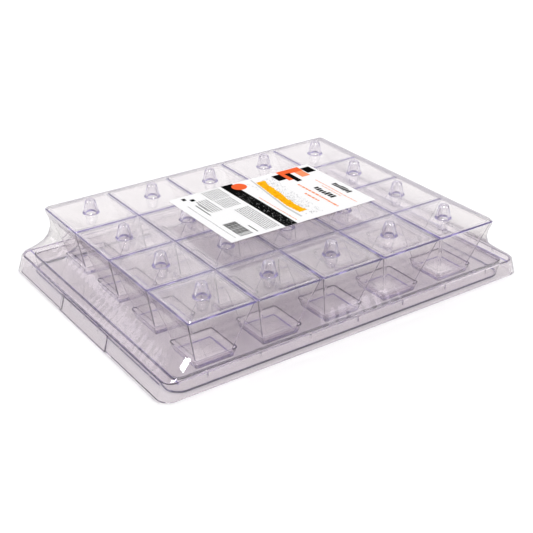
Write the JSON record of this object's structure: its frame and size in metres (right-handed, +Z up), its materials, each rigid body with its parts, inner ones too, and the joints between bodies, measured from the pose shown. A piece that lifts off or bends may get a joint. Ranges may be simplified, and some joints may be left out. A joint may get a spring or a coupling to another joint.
{
  "type": "lidded dessert cup tray",
  "caption": "Clear moulded serving tray with a grid of square tapered cups, each under a flat lid with a small knob, wrapped in clear film with a paper label on top.",
  "frame": {"origin": "centre of the tray's footprint, on the surface that it stands on", "axes": "+X along the row of five cups, +Y along the row of four, +Z up"},
  "size_m": [0.3646, 0.2622, 0.068],
  "materials": {
    "tray_plastic": "clear moulded polystyrene, glossy",
    "cup_plastic": "clear moulded polystyrene, glossy",
    "lid_plastic": "clear moulded polystyrene, glossy",
    "film": "thin clear film, glossy, lightly wrinkled",
    "printed_paper": "white printed paper, satin"
  },
  "bodies": {
    "tray": {"tray": "tray_plastic"},
    "wrap": {"shrink_film": "film", "paper_label": "printed_paper"},
    "cup_01": {"cup_01": "cup_plastic"},
    "cup_02": {"cup_02": "cup_plastic"},
    "cup_03": {"cup_03": "cup_plastic"},
    "cup_04": {"cup_04": "cup_plastic"},
    "cup_05": {"cup_05": "cup_plastic"},
    "cup_06": {"cup_06": "cup_plastic"},
    "cup_07": {"cup_07": "cup_plastic"},
    "cup_08": {"cup_08": "cup_plastic"},
    "cup_09": {"cup_09": "cup_plastic"},
    "cup_10": {"cup_10": "cup_plastic"},
    "cup_11": {"cup_11": "cup_plastic"},
    "cup_12": {"cup_12": "cup_plastic"},
    "cup_13": {"cup_13": "cup_plastic"},
    "cup_14": {"cup_14": "cup_plastic"},
    "cup_15": {"cup_15": "cup_plastic"},
    "cup_16": {"cup_16": "cup_plastic"},
    "cup_17": {"cup_17": "cup_plastic"},
    "cup_18": {"cup_18": "cup_plastic"},
    "cup_19": {"cup_19": "cup_plastic"},
    "cup_20": {"cup_20": "cup_plastic"},
    "lid_01": {"lid_01": "lid_plastic"},
    "lid_02": {"lid_02": "lid_plastic"},
    "lid_03": {"lid_03": "lid_plastic"},
    "lid_04": {"lid_04": "lid_plastic"},
    "lid_05": {"lid_05": "lid_plastic"},
    "lid_06": {"lid_06": "lid_plastic"},
    "lid_07": {"lid_07": "lid_plastic"},
    "lid_08": {"lid_08": "lid_plastic"},
    "lid_09": {"lid_09": "lid_plastic"},
    "lid_10": {"lid_10": "lid_plastic"},
    "lid_11": {"lid_11": "lid_plastic"},
    "lid_12": {"lid_12": "lid_plastic"},
    "lid_13": {"lid_13": "lid_plastic"},
    "lid_14": {"lid_14": "lid_plastic"},
    "lid_15": {"lid_15": "lid_plastic"},
    "lid_16": {"lid_16": "lid_plastic"},
    "lid_17": {"lid_17": "lid_plastic"},
    "lid_18": {"lid_18": "lid_plastic"},
    "lid_19": {"lid_19": "lid_plastic"},
    "lid_20": {"lid_20": "lid_plastic"}
  },
  "joints": [
    {"name": "film_lift", "type": "slide", "parent": "tray", "child": "wrap", "axis": [0, 0, 1], "range_m": [0, 0.2]},
    {"name": "cup_01_lift", "type": "slide", "parent": "tray", "child": "cup_01", "axis": [0, 0, 1], "range_m": [0, 0.05]},
    {"name": "cup_02_lift", "type": "slide", "parent": "tray", "child": "cup_02", "axis": [0, 0, 1], "range_m": [0, 0.05]},
    {"name": "cup_03_lift", "type": "slide", "parent": "tray", "child": "cup_03", "axis": [0, 0, 1], "range_m": [0, 0.05]},
    {"name": "cup_04_lift", "type": "slide", "parent": "tray", "child": "cup_04", "axis": [0, 0, 1], "range_m": [0, 0.05]},
    {"name": "cup_05_lift", "type": "slide", "parent": "tray", "child": "cup_05", "axis": [0, 0, 1], "range_m": [0, 0.05]},
    {"name": "cup_06_lift", "type": "slide", "parent": "tray", "child": "cup_06", "axis": [0, 0, 1], "range_m": [0, 0.05]},
    {"name": "cup_07_lift", "type": "slide", "parent": "tray", "child": "cup_07", "axis": [0, 0, 1], "range_m": [0, 0.05]},
    {"name": "cup_08_lift", "type": "slide", "parent": "tray", "child": "cup_08", "axis": [0, 0, 1], "range_m": [0, 0.05]},
    {"name": "cup_09_lift", "type": "slide", "parent": "tray", "child": "cup_09", "axis": [0, 0, 1], "range_m": [0, 0.05]},
    {"name": "cup_10_lift", "type": "slide", "parent": "tray", "child": "cup_10", "axis": [0, 0, 1], "range_m": [0, 0.05]},
    {"name": "cup_11_lift", "type": "slide", "parent": "tray", "child": "cup_11", "axis": [0, 0, 1], "range_m": [0, 0.05]},
    {"name": "cup_12_lift", "type": "slide", "parent": "tray", "child": "cup_12", "axis": [0, 0, 1], "range_m": [0, 0.05]},
    {"name": "cup_13_lift", "type": "slide", "parent": "tray", "child": "cup_13", "axis": [0, 0, 1], "range_m": [0, 0.05]},
    {"name": "cup_14_lift", "type": "slide", "parent": "tray", "child": "cup_14", "axis": [0, 0, 1], "range_m": [0, 0.05]},
    {"name": "cup_15_lift", "type": "slide", "parent": "tray", "child": "cup_15", "axis": [0, 0, 1], "range_m": [0, 0.05]},
    {"name": "cup_16_lift", "type": "slide", "parent": "tray", "child": "cup_16", "axis": [0, 0, 1], "range_m": [0, 0.05]},
    {"name": "cup_17_lift", "type": "slide", "parent": "tray", "child": "cup_17", "axis": [0, 0, 1], "range_m": [0, 0.05]},
    {"name": "cup_18_lift", "type": "slide", "parent": "tray", "child": "cup_18", "axis": [0, 0, 1], "range_m": [0, 0.05]},
    {"name": "cup_19_lift", "type": "slide", "parent": "tray", "child": "cup_19", "axis": [0, 0, 1], "range_m": [0, 0.05]},
    {"name": "cup_20_lift", "type": "slide", "parent": "tray", "child": "cup_20", "axis": [0, 0, 1], "range_m": [0, 0.05]},
    {"name": "lid_01_lift", "type": "slide", "parent": "cup_01", "child": "lid_01", "axis": [0, 0, 1], "range_m": [0, 0.05]},
    {"name": "lid_02_lift", "type": "slide", "parent": "cup_02", "child": "lid_02", "axis": [0, 0, 1], "range_m": [0, 0.05]},
    {"name": "lid_03_lift", "type": "slide", "parent": "cup_03", "child": "lid_03", "axis": [0, 0, 1], "range_m": [0, 0.05]},
    {"name": "lid_04_lift", "type": "slide", "parent": "cup_04", "child": "lid_04", "axis": [0, 0, 1], "range_m": [0, 0.05]},
    {"name": "lid_05_lift", "type": "slide", "parent": "cup_05", "child": "lid_05", "axis": [0, 0, 1], "range_m": [0, 0.05]},
    {"name": "lid_06_lift", "type": "slide", "parent": "cup_06", "child": "lid_06", "axis": [0, 0, 1], "range_m": [0, 0.05]},
    {"name": "lid_07_lift", "type": "slide", "parent": "cup_07", "child": "lid_07", "axis": [0, 0, 1], "range_m": [0, 0.05]},
    {"name": "lid_08_lift", "type": "slide", "parent": "cup_08", "child": "lid_08", "axis": [0, 0, 1], "range_m": [0, 0.05]},
    {"name": "lid_09_lift", "type": "slide", "parent": "cup_09", "child": "lid_09", "axis": [0, 0, 1], "range_m": [0, 0.05]},
    {"name": "lid_10_lift", "type": "slide", "parent": "cup_10", "child": "lid_10", "axis": [0, 0, 1], "range_m": [0, 0.05]},
    {"name": "lid_11_lift", "type": "slide", "parent": "cup_11", "child": "lid_11", "axis": [0, 0, 1], "range_m": [0, 0.05]},
    {"name": "lid_12_lift", "type": "slide", "parent": "cup_12", "child": "lid_12", "axis": [0, 0, 1], "range_m": [0, 0.05]},
    {"name": "lid_13_lift", "type": "slide", "parent": "cup_13", "child": "lid_13", "axis": [0, 0, 1], "range_m": [0, 0.05]},
    {"name": "lid_14_lift", "type": "slide", "parent": "cup_14", "child": "lid_14", "axis": [0, 0, 1], "range_m": [0, 0.05]},
    {"name": "lid_15_lift", "type": "slide", "parent": "cup_15", "child": "lid_15", "axis": [0, 0, 1], "range_m": [0, 0.05]},
    {"name": "lid_16_lift", "type": "slide", "parent": "cup_16", "child": "lid_16", "axis": [0, 0, 1], "range_m": [0, 0.05]},
    {"name": "lid_17_lift", "type": "slide", "parent": "cup_17", "child": "lid_17", "axis": [0, 0, 1], "range_m": [0, 0.05]},
    {"name": "lid_18_lift", "type": "slide", "parent": "cup_18", "child": "lid_18", "axis": [0, 0, 1], "range_m": [0, 0.05]},
    {"name": "lid_19_lift", "type": "slide", "parent": "cup_19", "child": "lid_19", "axis": [0, 0, 1], "range_m": [0, 0.05]},
    {"name": "lid_20_lift", "type": "slide", "parent": "cup_20", "child": "lid_20", "axis": [0, 0, 1], "range_m": [0, 0.05]}
  ],
  "couplings": [
    {"joint": "cup_01_lift", "follows": "film_lift", "ratio": 0.25},
    {"joint": "cup_02_lift", "follows": "film_lift", "ratio": 0.25},
    {"joint": "cup_03_lift", "follows": "film_lift", "ratio": 0.25},
    {"joint": "cup_04_lift", "follows": "film_lift", "ratio": 0.25},
    {"joint": "cup_05_lift", "follows": "film_lift", "ratio": 0.25},
    {"joint": "cup_06_lift", "follows": "film_lift", "ratio": 0.25},
    {"joint": "cup_07_lift", "follows": "film_lift", "ratio": 0.25},
    {"joint": "cup_08_lift", "follows": "film_lift", "ratio": 0.25},
    {"joint": "cup_09_lift", "follows": "film_lift", "ratio": 0.25},
    {"joint": "cup_10_lift", "follows": "film_lift", "ratio": 0.25},
    {"joint": "cup_11_lift", "follows": "film_lift", "ratio": 0.25},
    {"joint": "cup_12_lift", "follows": "film_lift", "ratio": 0.25},
    {"joint": "cup_13_lift", "follows": "film_lift", "ratio": 0.25},
    {"joint": "cup_14_lift", "follows": "film_lift", "ratio": 0.25},
    {"joint": "cup_15_lift", "follows": "film_lift", "ratio": 0.25},
    {"joint": "cup_16_lift", "follows": "film_lift", "ratio": 0.25},
    {"joint": "cup_17_lift", "follows": "film_lift", "ratio": 0.25},
    {"joint": "cup_18_lift", "follows": "film_lift", "ratio": 0.25},
    {"joint": "cup_19_lift", "follows": "film_lift", "ratio": 0.25},
    {"joint": "cup_20_lift", "follows": "film_lift", "ratio": 0.25},
    {"joint": "lid_01_lift", "follows": "film_lift", "ratio": 0.25},
    {"joint": "lid_02_lift", "follows": "film_lift", "ratio": 0.25},
    {"joint": "lid_03_lift", "follows": "film_lift", "ratio": 0.25},
    {"joint": "lid_04_lift", "follows": "film_lift", "ratio": 0.25},
    {"joint": "lid_05_lift", "follows": "film_lift", "ratio": 0.25},
    {"joint": "lid_06_lift", "follows": "film_lift", "ratio": 0.25},
    {"joint": "lid_07_lift", "follows": "film_lift", "ratio": 0.25},
    {"joint": "lid_08_lift", "follows": "film_lift", "ratio": 0.25},
    {"joint": "lid_09_lift", "follows": "film_lift", "ratio": 0.25},
    {"joint": "lid_10_lift", "follows": "film_lift", "ratio": 0.25},
    {"joint": "lid_11_lift", "follows": "film_lift", "ratio": 0.25},
    {"joint": "lid_12_lift", "follows": "film_lift", "ratio": 0.25},
    {"joint": "lid_13_lift", "follows": "film_lift", "ratio": 0.25},
    {"joint": "lid_14_lift", "follows": "film_lift", "ratio": 0.25},
    {"joint": "lid_15_lift", "follows": "film_lift", "ratio": 0.25},
    {"joint": "lid_16_lift", "follows": "film_lift", "ratio": 0.25},
    {"joint": "lid_17_lift", "follows": "film_lift", "ratio": 0.25},
    {"joint": "lid_18_lift", "follows": "film_lift", "ratio": 0.25},
    {"joint": "lid_19_lift", "follows": "film_lift", "ratio": 0.25},
    {"joint": "lid_20_lift", "follows": "film_lift", "ratio": 0.25}
  ]
}
